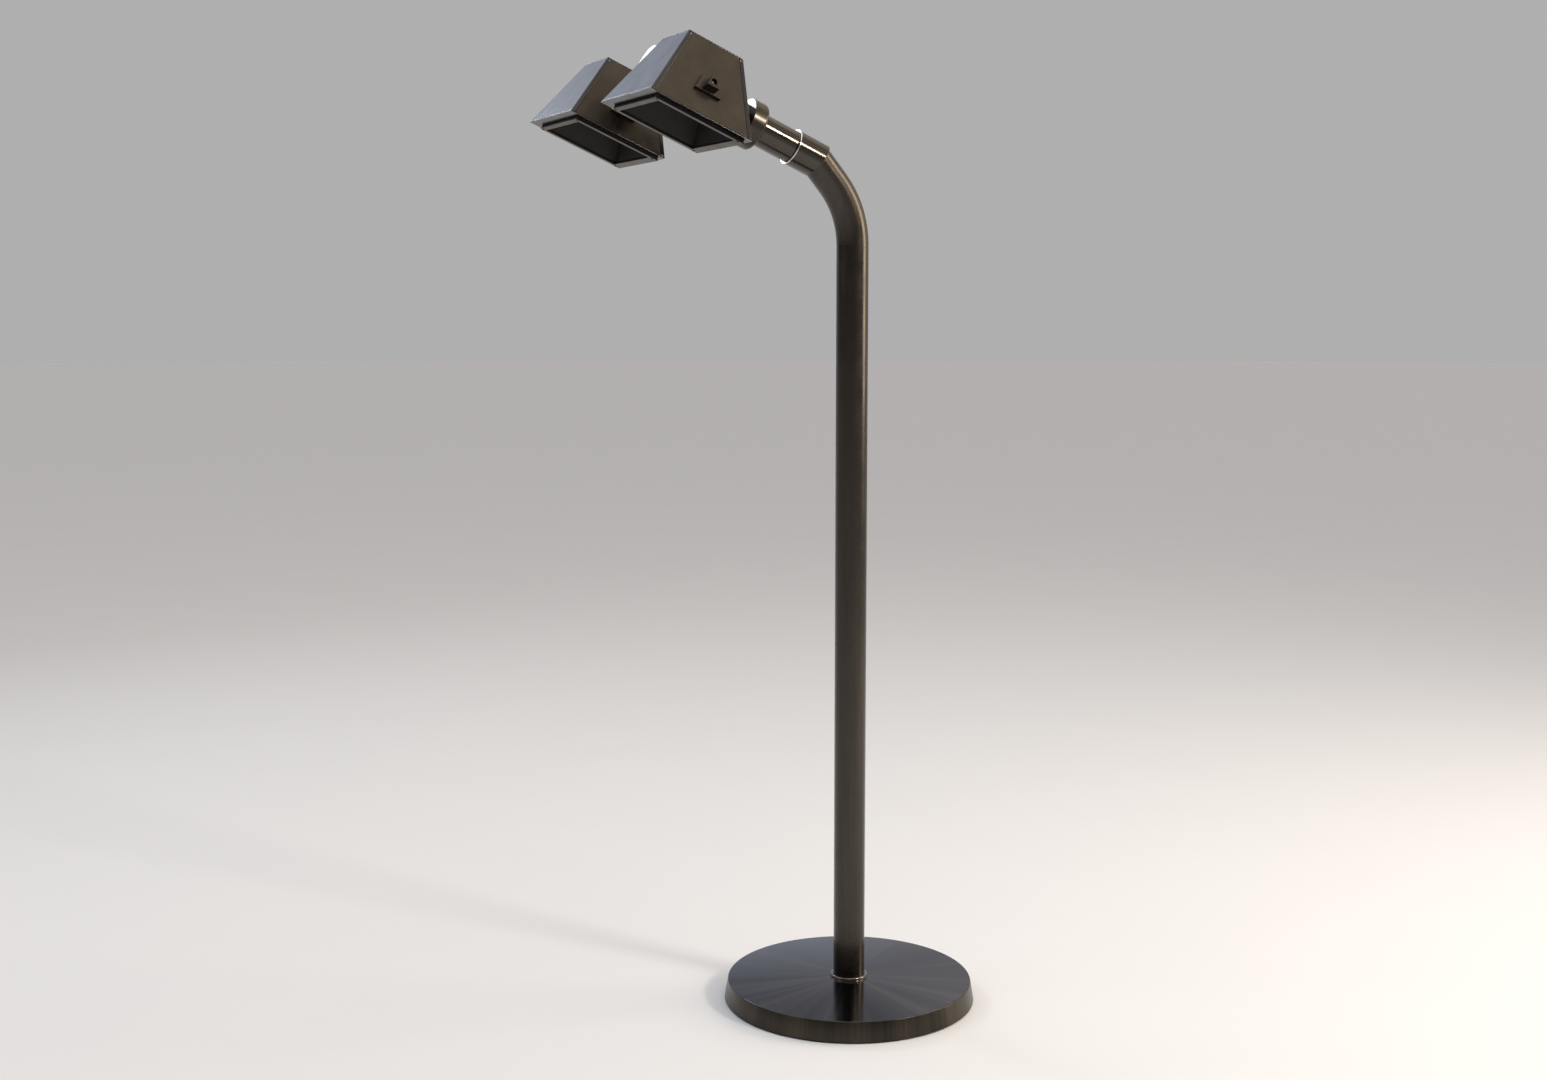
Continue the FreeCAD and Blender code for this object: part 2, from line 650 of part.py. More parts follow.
def optic_tray():
    """Black tray: flange under the rim, sloping baffle walls, lens ledge."""
    half_u, half_v = mouth_half()
    top = (TRAY_TOP_HALF, TRAY_TOP_HALF)
    flange_half = (RING_LEN / 2 - TRAY_INSET, RING_WID / 2 - TRAY_INSET)
    flange = plate(-RING_GAP, 0, flange_half, RING_SHIFT)
    low = (half_u - SEAT, half_v - SEAT)
    solid = flange.fuse(pyramid(0, TRAY_H, low, top, MOUTH_SHIFT))
    inner_low = (low[0] - TRAY_WALL, low[1] - TRAY_WALL)
    inner_top = (top[0] - TRAY_WALL, top[1] - TRAY_WALL)
    neck = plate(-RING_GAP - 1, 0, inner_low, MOUTH_SHIFT)
    room = pyramid(0, TRAY_H - TRAY_WALL, inner_low, inner_top, MOUTH_SHIFT)
    window_half = inner_top[0] - TRAY_LEDGE
    window = plate(TRAY_H - 3 * TRAY_WALL, TRAY_H + 1, (window_half, window_half))
    return solid.cut([neck, room, window])


def lens():
    """Flat glass on the tray's ledge."""
    return plate(LENS_W, LENS_W + LENS_T, (LENS_HALF, LENS_HALF))


def reflector():
    """Bright funnel between the lens and the light source."""
    low = LENS_W + LENS_T
    high = BOARD_W
    base, top = REFLECTOR_BASE_HALF, REFLECTOR_TOP_HALF
    outer = pyramid(low, high, (base, base), (top, top))
    wall = REFLECTOR_WALL
    inner = pyramid(low, high, (base - wall, base - wall), (top - wall, top - wall))
    return outer.cut(inner)


def led_module():
    """Square board with a round light source under it."""
    board = plate(BOARD_W, BOARD_W + BOARD_T, (BOARD_HALF, BOARD_HALF))
    chip = Part.makeCylinder(CHIP_R, CHIP_T, Vector(0, 0, BOARD_W - CHIP_T))
    return board.fuse(chip).removeSplitter()


def heat_sink():
    """Finned block between the board and the hood's top."""
    length, width = SINK_LEN, SINK_WID
    sink = Part.makeBox(length, width, SINK_BASE_T, Vector(-length / 2, -width / 2, SINK_W))
    fin_h = HOOD_H - HOOD_WALL - SINK_W - SINK_BASE_T
    pitch = (width - FIN_T) / (FIN_COUNT - 1)
    for index in range(FIN_COUNT):
        low = Vector(-length / 2, -width / 2 + index * pitch, SINK_W + SINK_BASE_T)
        sink = sink.fuse(Part.makeBox(length, FIN_T, fin_h, low))
    return sink.removeSplitter()


def ring_opening():
    """Half size and shift of the trim ring's opening."""
    long = RING_LEN - RING_W - RING_W_IN
    shift = RING_SHIFT + (RING_W_IN - RING_W) / 2
    return (long / 2, RING_WID / 2 - RING_W), shift


def trim_ring():
    """Flat ring below the tray's flange, wider on the post's side."""
    hole_half, hole_shift = ring_opening()
    ring = plate(RING_Z, -RING_GAP, (RING_LEN / 2, RING_WID / 2), RING_SHIFT)
    return ring.cut(plate(RING_Z - 1, 0, hole_half, hole_shift))


def ring_screws():
    """Flat-headed screws at the trim ring's corners."""
    (half_u, half_v), shift = ring_opening()
    screws = []
    for i in (1, -1):
        for j in (1, -1):
            centre = Vector(
                shift + i * (half_u + RING_W / 2), j * (half_v + RING_W / 2), RING_Z - RING_SCREW_H)
            screws.append(Part.makeCone(RING_SCREW_TIP_R, RING_SCREW_R, RING_SCREW_H, centre))
    return Part.makeCompound(screws)


# --------------------------------------------------------------------- lock
def spindle_bore():
    """The hole that the spindle turns in, in side axes."""
    return Part.makeCylinder(SPINDLE_R + SLIP, 80, Vector(0, LOCK_Y, -40))


def lock_plate():
    """Raised plate on the hood's side."""
    plate = leaning_plate(
        LOCK_PLATE_W, LOCK_PLATE_H, LOCK_PLATE_Y, 0, LOCK_PLATE_T, LOCK_LEAN)
    return plate.cut(spindle_bore())


def lock_block():
    """Block on the plate, with an arched recess for the key."""
    front = LOCK_PLATE_T + LOCK_BLOCK_T
    low_y = LOCK_Y - LOCK_BLOCK_H / 2
    block = leaning_plate(LOCK_BLOCK_W, LOCK_BLOCK_H, low_y, LOCK_PLATE_T, front, LOCK_LEAN)
    arch_r = KEY_ARCH_W / 2
    arch_low = LOCK_Y - KEY_ARCH_H + arch_r
    floor = front - KEY_ARCH_DEEP
    door = Part.makeBox(
        KEY_ARCH_W, LOCK_Y - arch_low, KEY_ARCH_DEEP + 1, Vector(-arch_r, arch_low, floor))
    crown = Part.makeCylinder(arch_r, KEY_ARCH_DEEP + 1, Vector(0, LOCK_Y, floor))
    return block.cut([door, crown, spindle_bore()])


def lock_spindle():
    """Round spindle with a square end for the key."""
    floor = LOCK_PLATE_T + LOCK_BLOCK_T - KEY_ARCH_DEEP
    shaft = Part.makeCylinder(
        SPINDLE_R, floor + SPINDLE_IN, Vector(0, LOCK_Y, -SPINDLE_IN))
    half = KEY_SQUARE / 2
    key = Part.makeBox(KEY_SQUARE, KEY_SQUARE, KEY_LEN, Vector(-half, LOCK_Y - half, floor))
    return shaft.fuse(key).removeSplitter()


def lock_cam():
    """Tongue on the spindle's inner end, which holds the tray."""
    low_z = -SPINDLE_IN + CAM_BACK
    arm = Part.makeBox(
        CAM_W, CAM_LEN, CAM_T, Vector(-CAM_W / 2, LOCK_Y - CAM_LEN, low_z))
    eye = Part.makeCylinder(SPINDLE_R + CAM_EYE_WALL, CAM_T, Vector(0, LOCK_Y, low_z))
    hole = Part.makeCylinder(SPINDLE_R, CAM_T + 2, Vector(0, LOCK_Y, low_z - 1))
    return arm.fuse(eye).removeSplitter().cut(hole)


# ----------------------------------------------------------------- tilt hub
def tilt_hub(arm_side):
    """Boss on a hood's side, with a spigot through it, bored for the shaft."""
    outer_v = HOOD_OFF - HUB_FACE_S
    tip_v = HOOD_OFF - HUB_TIP_S
    spigot_r = SHAFT_R + TILT_HUB_BORE_WALL
    boss = Part.makeCylinder(TILT_HUB_R, outer_v, Vector(0, 0, 0), Vector(0, 1, 0))
    spigot = Part.makeCylinder(
        spigot_r - SEAT, outer_v - tip_v, Vector(0, tip_v, 0), Vector(0, 1, 0))
    bore = Part.makeCylinder(SHAFT_R + SLIP, 2 * HOOD_WID, Vector(0, 0, 0), Vector(0, 1, 0))
    parts = [boss, spigot, bore]
    for shape in parts:
        if arm_side < 0:
            shape.rotate(Vector(0, 0, 0), Vector(0, 0, 1), 180)
        shape.translate(Vector(PIVOT_U, 0, PIVOT_W))
    boss = boss.cut(hood_slice(-20, HOOD_H + 30))
    return boss.fuse(spigot).removeSplitter().cut(bore)


# ----------------------------------------------------------------- assembly
def write_stand():
    """Sub-parts that stand still: base, post and coupler."""
    save("base_cover", base_cover())
    save("base_weight", base_weight())
    save("foot_pad", foot_pad())
    save("pole_socket", pole_socket())
    save("base_bolt", base_bolt())
    save("pole_foot_ring", pole_foot_ring())
    save("cable_gland", cable_gland())
    save("pole_tube", pole_tube())
    core = arm_ring(CORE_R, CORE_R - CORE_WALL, CORE_START_T, CORE_END_T)
    save("coupler_core", placed(core, HEAD))
    save("coupler_sleeve", placed(coupler_sleeve(), HEAD))
    lip = arm_ring(LIP_R, POST_R + 2 * SLIP, SLEEVE_END_T, SLEEVE_END_T + LIP_LEN)
    save("sleeve_lip", placed(lip, HEAD))
    grubs = radial_screws(POST_R + SLIP, SLEEVE_R, SLEEVE_SCREW_T, SLEEVE_ANGLES)
    save("sleeve_screws", placed(Part.makeCompound(grubs), HEAD))


def write_arm():
    """Sub-parts that roll with the arm."""
    save("arm_tube", placed(arm_tube(), HEAD))
    save("rear_collar", placed(collar(REAR_COLLAR_T, REAR_COLLAR_LEN, COLLAR_EDGE), HEAD))
    save("mid_collar", placed(collar(MID_COLLAR_T, MID_COLLAR_LEN, HUB_EDGE), HEAD))
    save("end_hub", placed(end_hub(), HEAD))
    save("collar_screws", placed(collar_screws(), HEAD))
    save("cross_shaft", placed(cross_shaft(), HEAD))
    clamp_s = HUB_FACE_S - GAP - CLAMP_LEN
    save("shaft_clamps", placed(shaft_rings(CLAMP_R, clamp_s, CLAMP_LEN, SHAFT_R), HEAD))
    retainer_s = HUB_TIP_S + GAP
    rings = shaft_rings(RETAINER_R, retainer_s, RETAINER_LEN, SHAFT_R)
    save("shaft_retainers", placed(rings, HEAD))


def write_hood(name, side):
    """Sub-parts of one hood; side is +1 or -1 along s from the arm."""
    home = HEAD * Placement(Vector(HOOD_T, side * HOOD_OFF, -HOOD_DROP), Rotation())
    arm_side = -side
    pieces = {
        "end_plates": end_plates(),
        "top_plate": top_plate(),
        "rim_frame": rim_frame(),
        "outer_panel": side_panel(side, arm_side),
        "inner_panel": side_panel(-side, arm_side),
        "panel_screws": panel_screws(),
        "optic_tray": optic_tray(),
        "lens": lens(),
        "reflector": reflector(),
        "led_module": led_module(),
        "heat_sink": heat_sink(),
        "trim_ring": trim_ring(),
        "ring_screws": ring_screws(),
        "lock_plate": on_side(lock_plate(), 1),
        "lock_block": on_side(lock_block(), 1),
        "lock_spindle": on_side(lock_spindle(), 1),
        "lock_cam": on_side(lock_cam(), 1),
        "tilt_hub": tilt_hub(arm_side),
    }
    for piece, shape in pieces.items():
        save(name + "_" + piece, placed(shape, home))


os.makedirs("parts", exist_ok=True)
write_stand()
write_arm()
write_hood("left", 1)
write_hood("right", -1)
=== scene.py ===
import json
import math

import bmesh
import bpy
from mathutils import Matrix, Vector

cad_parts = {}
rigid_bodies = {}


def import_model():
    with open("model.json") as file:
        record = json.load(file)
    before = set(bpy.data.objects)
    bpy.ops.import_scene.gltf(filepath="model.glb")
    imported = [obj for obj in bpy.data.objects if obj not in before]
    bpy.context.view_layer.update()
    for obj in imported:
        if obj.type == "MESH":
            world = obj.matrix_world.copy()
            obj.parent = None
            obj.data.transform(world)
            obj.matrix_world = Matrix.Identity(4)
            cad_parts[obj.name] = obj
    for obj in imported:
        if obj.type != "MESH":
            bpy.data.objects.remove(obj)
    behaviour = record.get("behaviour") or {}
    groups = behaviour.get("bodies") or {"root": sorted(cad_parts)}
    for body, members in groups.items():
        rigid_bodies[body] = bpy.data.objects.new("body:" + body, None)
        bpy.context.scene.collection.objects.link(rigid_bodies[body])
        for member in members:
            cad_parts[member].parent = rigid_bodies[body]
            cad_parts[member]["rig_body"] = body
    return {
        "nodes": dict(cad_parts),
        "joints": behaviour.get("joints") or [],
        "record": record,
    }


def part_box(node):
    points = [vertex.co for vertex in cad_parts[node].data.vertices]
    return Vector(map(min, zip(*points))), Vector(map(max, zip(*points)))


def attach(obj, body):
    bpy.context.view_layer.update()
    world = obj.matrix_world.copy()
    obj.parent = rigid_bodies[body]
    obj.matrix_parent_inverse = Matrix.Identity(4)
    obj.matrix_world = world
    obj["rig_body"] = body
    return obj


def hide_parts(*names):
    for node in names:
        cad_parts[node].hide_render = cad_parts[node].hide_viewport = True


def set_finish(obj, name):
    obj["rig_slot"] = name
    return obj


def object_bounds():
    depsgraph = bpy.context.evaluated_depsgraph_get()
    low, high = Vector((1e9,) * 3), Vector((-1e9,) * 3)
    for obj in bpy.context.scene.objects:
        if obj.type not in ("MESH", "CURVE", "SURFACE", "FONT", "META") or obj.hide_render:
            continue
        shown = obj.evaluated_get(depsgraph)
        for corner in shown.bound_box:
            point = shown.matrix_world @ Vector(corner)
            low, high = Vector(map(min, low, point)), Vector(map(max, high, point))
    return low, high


# Twin-hood area light on a bent post.  The CAD nodes give every shape and
# place; this script rounds their edges, swaps some for detailed pieces and
# gives everything its finish.  Lengths are metres.
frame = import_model()
CAD_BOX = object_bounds()

MM = 0.001
WELD_REACH = 0.001 * MM     # vertices nearer than this are one
SHARP_TURN = 35.0           # degrees over which an edge stays sharp
FLAT_TURN = 0.3             # degrees under which two faces are one
NODES = frame["nodes"]
RECORD = frame["record"]
SLOT_OF = {part["node"]: part["material_slot"] for part in RECORD["subparts"]}
JOINTS = {joint["name"]: joint for joint in frame["joints"]}
SIDES = ("left", "right")


# ------------------------------------------------------------------- frames
def body_of(node):
    """The body that a CAD node rides on."""
    return NODES[node]["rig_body"]


def head_frame():
    """Axes (t, s, n): out along the arm, along the cross shaft, and up."""
    t = Vector(JOINTS["arm_roll"]["axis"]).normalized()
    s = Vector(JOINTS["left_tilt"]["axis"]).normalized()
    n = t.cross(s)
    turn = Matrix((t, s, n)).transposed().to_4x4()
    return Matrix.Translation(Vector(JOINTS["arm_roll"]["pos_m"])) @ turn


HEAD = head_frame()


def local_points(node, place):
    """A node's vertices in the axes of place."""
    back = place.inverted()
    return [back @ vertex.co for vertex in NODES[node].data.vertices]


def local_box(node, place):
    """Lowest and highest corner of a node in the axes of place."""
    points = local_points(node, place)
    low = Vector([min(p[k] for p in points) for k in range(3)])
    high = Vector([max(p[k] for p in points) for k in range(3)])
    return low, high


def hood_frame(side):
    """Axes (u, v, w) of a hood, with the origin at the centre of its rim."""
    low, high = local_box(side + "_rim_frame", HEAD)
    centre = Vector(((low.x + high.x) / 2, (low.y + high.y) / 2, low.z))
    return HEAD @ Matrix.Translation(centre)


# --------------------------------------------------------------- mesh helpers
def finish_mesh(name, bm, angle=SHARP_TURN):
    """A smooth-shaded object from bm, with edges over angle kept sharp."""
    bmesh.ops.recalc_face_normals(bm, faces=bm.faces)
    mesh = bpy.data.meshes.new(name)
    bm.to_mesh(mesh)
    bm.free()
    for layer in ("custom_normal", "sharp_edge"):
        if layer in mesh.attributes:
            mesh.attributes.remove(mesh.attributes[layer])
    mesh.polygons.foreach_set("use_smooth", [True] * len(mesh.polygons))
    mesh.set_sharp_from_angle(angle=math.radians(angle))
    piece = bpy.data.objects.new(name, mesh)
    bpy.context.scene.collection.objects.link(piece)
    return piece


def stand_in(piece, node):
    """Let piece ride where a CAD node rides and be seen in its place."""
    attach(piece, body_of(node))
    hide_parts(node)
    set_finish(piece, SLOT_OF[node])
    return piece


def add_on(piece, node, slot=None):
    """Let an extra piece ride with a CAD node."""
    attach(piece, body_of(node))
    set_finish(piece, slot or SLOT_OF[node])
    return piece


def softened(node, width, steps=3):
    """A copy of a CAD node with its hard edges rounded."""
    bm = bmesh.new()
    bm.from_mesh(NODES[node].data)
    bmesh.ops.remove_doubles(bm, verts=bm.verts, dist=WELD_REACH)
    bmesh.ops.dissolve_limit(
        bm, angle_limit=math.radians(FLAT_TURN), verts=bm.verts, edges=bm.edges)
    piece = finish_mesh(node + "_finished", bm)
    bevel = piece.modifiers.new("rounded_edges", "BEVEL")
    bevel.width = width
    bevel.segments = steps
    bevel.limit_method = "ANGLE"
    bevel.angle_limit = math.radians(SHARP_TURN)
    bevel.harden_normals = True
    return stand_in(piece, node)


def skin(bm, rings, closed=False):
    """Faces between rings of equally many points; closed joins last to first."""
    loops = [[bm.verts.new(point) for point in ring] for ring in rings]
    pairs = list(zip(loops, loops[1:]))
    if closed:
        pairs.append((loops[-1], loops[0]))
    for low, high in pairs:
        for index in range(len(low)):
            after = (index + 1) % len(low)
            bm.faces.new((low[index], low[after], high[after], high[index]))
    if not closed:
        bm.faces.new(loops[0])
        bm.faces.new(list(reversed(loops[-1])))


def ring_points(radius, height, place, steps, sides=0):
    """A ring about the Z axis of place: round, or with flat sides."""
    points = []
    for index in range(steps):
        angle = 2 * math.pi * index / steps
        reach = radius
        if sides:
            half = math.pi / sides
            reach = radius / math.cos((angle + half) % (2 * half) - half)
        points.append(place @ Vector((reach * math.cos(angle), reach * math.sin(angle), height)))
    return points


def lathe(name, profile, place, steps=128):
    """A closed (radius, height) outline turned about the Z axis of place."""
    bm = bmesh.new()
    rings = [ring_points(radius, height, place, steps) for radius, height in profile]
    skin(bm, rings, closed=True)
    return finish_mesh(name, bm)


def rounded_outline(corners, steps=6):
    """An outline from (radius, height, rounding) corners, with round corners."""
    outline = []
    count = len(corners)
    for index, (x, y, rounding) in enumerate(corners):
        here = Vector((x, y))
        if not rounding:
            outline.append((x, y))
            continue
        before = Vector(corners[index - 1][:2]) - here
        after = Vector(corners[(index + 1) % count][:2]) - here
        half = before.angle(after) / 2
        reach = rounding / math.tan(half)
        start = here + before.normalized() * reach
        end = here + after.normalized() * reach
        middle = here + (before.normalized() + after.normalized()).normalized() * (
            rounding / math.sin(half))
        first = start - middle
        sweep = first.angle_signed(end - middle)
        for step in range(steps + 1):
            turned = first.copy()
            turned.rotate(Matrix.Rotation(-sweep * step / steps, 2))
            outline.append(tuple(middle + turned))
    return outline


def along_arm(t):
    """Axes with Z out along the arm, at a distance t from the roll joint."""
    return HEAD @ Matrix.Translation((t, 0, 0)) @ Matrix.Rotation(math.pi / 2, 4, "Y")


# ---------------------------------------------------------------- materials
NOISE_LOW, NOISE_HIGH = 0.3, 0.7    # most of a noise pattern lies between these


class Finish:
    """A node material built round one Principled shader."""

    def __init__(self, name, **sockets):
        self.material = bpy.data.materials.new(name)
        self.material.use_nodes = True
        self.tree = self.material.node_tree
        self.shader = self.tree.nodes["Principled BSDF"]
        for socket, value in sockets.items():
            self.set(socket.replace("_", " "), value)
        self.place = self.tree.nodes.new("ShaderNodeTexCoord").outputs["Object"]

    def set(self, socket, value):
        """Set one of the shader's sockets; a colour gets its alpha."""
        if isinstance(value, tuple) and len(value) == 3:
            value = (*value, 1.0)
        self.shader.inputs[socket].default_value = value

    def link(self, source, target):
        """Join two sockets."""
        self.tree.links.new(source, target)

    def noise(self, scale, detail=3.0, place=None, stretch=None):
        """A noise pattern, in features per metre."""
        place = place or self.place
        if stretch:
            mapping = self.tree.nodes.new("ShaderNodeMapping")
            mapping.inputs["Scale"].default_value = stretch
            self.link(place, mapping.inputs["Vector"])
            place = mapping.outputs["Vector"]
        node = self.tree.nodes.new("ShaderNodeTexNoise")
        node.inputs["Scale"].default_value = scale
        node.inputs["Detail"].default_value = detail
        self.link(place, node.inputs["Vector"])
        return node.outputs["Fac"]

    def ramp(self, factor, stops):
        """A colour ramp over (position, colour) stops."""
        node = self.tree.nodes.new("ShaderNodeValToRGB")
        while len(node.color_ramp.elements) < len(stops):
            node.color_ramp.elements.new(0.5)
        for element, (position, colour) in zip(node.color_ramp.elements, stops):
            element.position = position
            element.color = (*colour, 1.0)
        self.link(factor, node.inputs["Fac"])
        return node.outputs["Color"]

    def blend(self, share, first, second):
        """Mix two patterns or colours, with the given share of the second."""
        node = self.tree.nodes.new("ShaderNodeMix")
        node.data_type = "RGBA"
        node.inputs["Factor"].default_value = share
        self.link(first, node.inputs["A"])
        self.link(second, node.inputs["B"])
        return node.outputs["Result"]

    def colour(self, source):
        """Base colour from a pattern."""
        self.link(source, self.shader.inputs["Base Color"])

    def two_tone(self, pattern, low, high):
        """Base colour from low to high over a pattern."""
        self.colour(self.ramp(pattern, [(NOISE_LOW, low), (NOISE_HIGH, high)]))

    def rough(self, factor, low, high):
        """Roughness from low to high over a pattern."""
        node = self.tree.nodes.new("ShaderNodeMapRange")
        node.inputs["From Min"].default_value = NOISE_LOW
        node.inputs["From Max"].default_value = NOISE_HIGH
        node.inputs["To Min"].default_value = low
        node.inputs["To Max"].default_value = high
        self.link(factor, node.inputs["Value"])
        self.link(node.outputs["Result"], self.shader.inputs["Roughness"])

    def bump(self, height, strength, distance):
        """Relief too fine to model."""
        node = self.tree.nodes.new("ShaderNodeBump")
        node.inputs["Strength"].default_value = strength
        node.inputs["Distance"].default_value = distance
        self.link(height, node.inputs["Height"])
        self.link(node.outputs["Normal"], self.shader.inputs["Normal"])

    def direction(self):
        """The direction out from the Z axis, the same all along a radius."""
        flat = self.tree.nodes.new("ShaderNodeVectorMath")
        flat.operation = "MULTIPLY"
        flat.inputs[1].default_value = (1.0, 1.0, 0.0)
        unit = self.tree.nodes.new("ShaderNodeVectorMath")
        unit.operation = "NORMALIZE"
        self.link(self.place, flat.inputs[0])
        self.link(flat.outputs["Vector"], unit.inputs[0])
        return unit.outputs["Vector"]


def shade(colour, factor):
    """A colour made darker or lighter."""
    return tuple(min(1.0, channel * factor) for channel in colour)


def coat(name, colour, rough, varnish=0.0, stretch=None, spread=0.12):
    """Bronze coat: slow mottling, fine flake, orange peel and worn gloss."""
    finish = Finish(
        name, Metallic=0.9, Coat_Weight=varnish, Coat_Roughness=0.12, Specular_IOR_Level=0.4)
    mottle = finish.ramp(finish.noise(scale=7.0, detail=4.0, stretch=stretch), [
        (0.32, shade(colour, 1 - spread)),
        (0.68, shade(colour, 1 + spread)),
    ])
    flake = finish.ramp(finish.noise(scale=1400.0, detail=1.0), [
        (0.35, shade(colour, 0.82)),
        (0.55, colour),
        (0.75, shade(colour, 1.35)),
    ])
    finish.colour(finish.blend(0.10, mottle, flake))
    finish.rough(finish.noise(scale=26.0, detail=5.0), rough - 0.05, rough + 0.06)
    finish.bump(finish.noise(scale=300.0, detail=2.0), strength=0.05, distance=0.03 * MM)
    return finish.material


BRONZE = (0.050, 0.042, 0.034)
# Cool grey for the hood coat: its bluish tint is painted reflection of the cool light that the
# end plates face.
SKY_REFLECTION_GREY = (0.050, 0.049, 0.052)


def post_finish():
    """The post's coat, with faint drawing lines along it."""
    return coat(
        "post_bronze", shade(BRONZE, 1.12), rough=0.27, varnish=0.25, stretch=(14.0, 14.0, 0.8))


def spun_top():
    """Polished spun top, with painted reflection: rays of brighter and darker colour out from
    the post stand in for the fan of reflections on spun metal.
    """
    finish = Finish(
        "spun_base_top", Metallic=1.0, Anisotropic=0.6, Anisotropic_Rotation=0.25,
        Coat_Weight=0.15, Coat_Roughness=0.03)
    ray = finish.direction()
    wide = finish.noise(scale=2.2, detail=2.0, place=ray)
    narrow = finish.noise(scale=16.0, detail=3.0, place=ray)
    painted_reflection_rays = finish.blend(0.3, wide, narrow)
    # Painted reflection: the dark bluish and bright warm rays stand in for the fan of
    # reflections that spun metal throws.
    finish.colour(finish.ramp(painted_reflection_rays, [
        (0.34, (0.027, 0.029, 0.036)),
        (0.48, (0.042, 0.042, 0.047)),
        (0.62, (0.092, 0.085, 0.082)),
    ]))
    finish.rough(painted_reflection_rays, low=0.13, high=0.24)
    tangent = finish.tree.nodes.new("ShaderNodeTangent")
    tangent.direction_type = "RADIAL"
    tangent.axis = "Z"
    finish.link(tangent.outputs["Tangent"], finish.shader.inputs["Tangent"])
    return finish.material


def spun_side():
    """The base's sloping side, with painted reflection streaks up and down."""
    finish = Finish("spun_base_side", Metallic=0.95, Coat_Weight=0.1, Coat_Roughness=0.15)
    ray = finish.direction()
    wide = finish.noise(scale=3.0, detail=2.0, place=ray)
    narrow = finish.noise(scale=42.0, detail=4.0, place=ray)
    painted_reflection_streaks = finish.blend(0.3, wide, narrow)
    # Painted reflection: streaks from dark to warm bright stand in for the streaked reflections
    # of spun metal.
    finish.colour(finish.ramp(painted_reflection_streaks, [
        (0.34, (0.028, 0.025, 0.023)),
        (0.50, (0.052, 0.043, 0.034)),
        (0.66, (0.088, 0.071, 0.054)),
    ]))
    finish.rough(painted_reflection_streaks, low=0.26, high=0.42)
    return finish.material


def polished(name, colour, rough):
    """Bright metal with faint turning marks."""
    finish = Finish(name, Metallic=1.0)
    marks = finish.noise(scale=240.0, detail=4.0)
    finish.two_tone(marks, shade(colour, 0.86), colour)
    finish.rough(marks, rough * 0.7, rough * 1.4)
    finish.bump(marks, strength=0.05, distance=0.02 * MM)
    return finish.material


def cast_iron():
    """Rough cast weight."""
    finish = Finish("cast_iron", Metallic=0.6)
    grain = finish.noise(scale=380.0, detail=6.0)
    finish.two_tone(grain, (0.04, 0.037, 0.034), (0.12, 0.11, 0.10))
    finish.rough(grain, low=0.55, high=0.85)
    finish.bump(grain, strength=0.6, distance=0.4 * MM)
    return finish.material


def moulded(name, colour, rough, grain=900.0, depth=0.04 * MM):
    """Black plastic or rubber with a fine moulded grain."""
    finish = Finish(name, Specular_IOR_Level=0.35)
    texture = finish.noise(scale=grain, detail=2.0)
    finish.two_tone(texture, shade(colour, 0.8), shade(colour, 1.25))
    finish.rough(texture, rough - 0.06, rough + 0.08)
    finish.bump(texture, strength=0.35, distance=depth)
    return finish.material


def glass():
    """Clear lens, faintly etched and a little dusty."""
    finish = Finish(
        "lens_glass", Transmission_Weight=0.92, IOR=1.5, Base_Color=(0.86, 0.90, 0.90))
    finish.rough(finish.noise(scale=60.0, detail=6.0), low=0.04, high=0.16)
    return finish.material


def board():
    """White circuit board with a faint weave."""
    finish = Finish("led_board", Specular_IOR_Level=0.5)
    weave = finish.noise(scale=1200.0, detail=2.0)
    finish.two_tone(weave, (0.60, 0.60, 0.57), (0.74, 0.74, 0.71))
    finish.rough(weave, low=0.35, high=0.5)
    return finish.material


def phosphor():
    """Pale yellow dome over the light source."""
    finish = Finish("phosphor_dome", Subsurface_Weight=0.2, Specular_IOR_Level=0.6)
    grain = finish.noise(scale=2600.0, detail=2.0)
    finish.two_tone(grain, (0.78, 0.56, 0.09), (0.90, 0.68, 0.16))
    finish.rough(grain, low=0.25, high=0.4)
    return finish.material


MATERIALS = {
    "post_coat": post_finish(),
    "collar_coat": coat("collar_bronze", BRONZE, rough=0.27, varnish=0.15),
    "hood_coat": coat("hood_bronze", SKY_REFLECTION_GREY, rough=0.20, varnish=0.2, spread=0.25),
    "panel_coat": coat("panel_bronze", shade(BRONZE, 1.14), rough=0.29, varnish=0.15),
    "trim_coat": coat("trim_bronze", shade(BRONZE, 1.45), rough=0.34),
    "lock_coat": coat("lock_bronze", shade(BRONZE, 0.95), rough=0.38),
    "base_finish": spun_side(),
    "bright_trim": polished("bright_trim", (0.72, 0.70, 0.68), rough=0.14),
    "bare_steel": polished("bare_steel", (0.45, 0.44, 0.43), rough=0.30),
    "screw_steel": polished("screw_steel", (0.62, 0.61, 0.59), rough=0.20),
    "cast_weight": cast_iron(),
    "foot_rubber": moulded(
        "foot_rubber", (0.022, 0.022, 0.022), rough=0.75, grain=500.0, depth=0.1 * MM),
    "black_plastic": moulded("black_plastic", (0.025, 0.025, 0.025), rough=0.45),
    # The tray is darker than the other black plastic: part of its near-black is painted shade
    # for the hood's shaded interior.
    "tray_black": moulded("tray_black", (0.010, 0.009, 0.008), rough=0.62),
    "lens_glass": glass(),
    "reflector_bright": polished("reflector_bright", (0.82, 0.82, 0.83), rough=0.12),
    "led_board": board(),
    "sink_aluminium": polished("sink_aluminium", (0.40, 0.40, 0.41), rough=0.42),
}
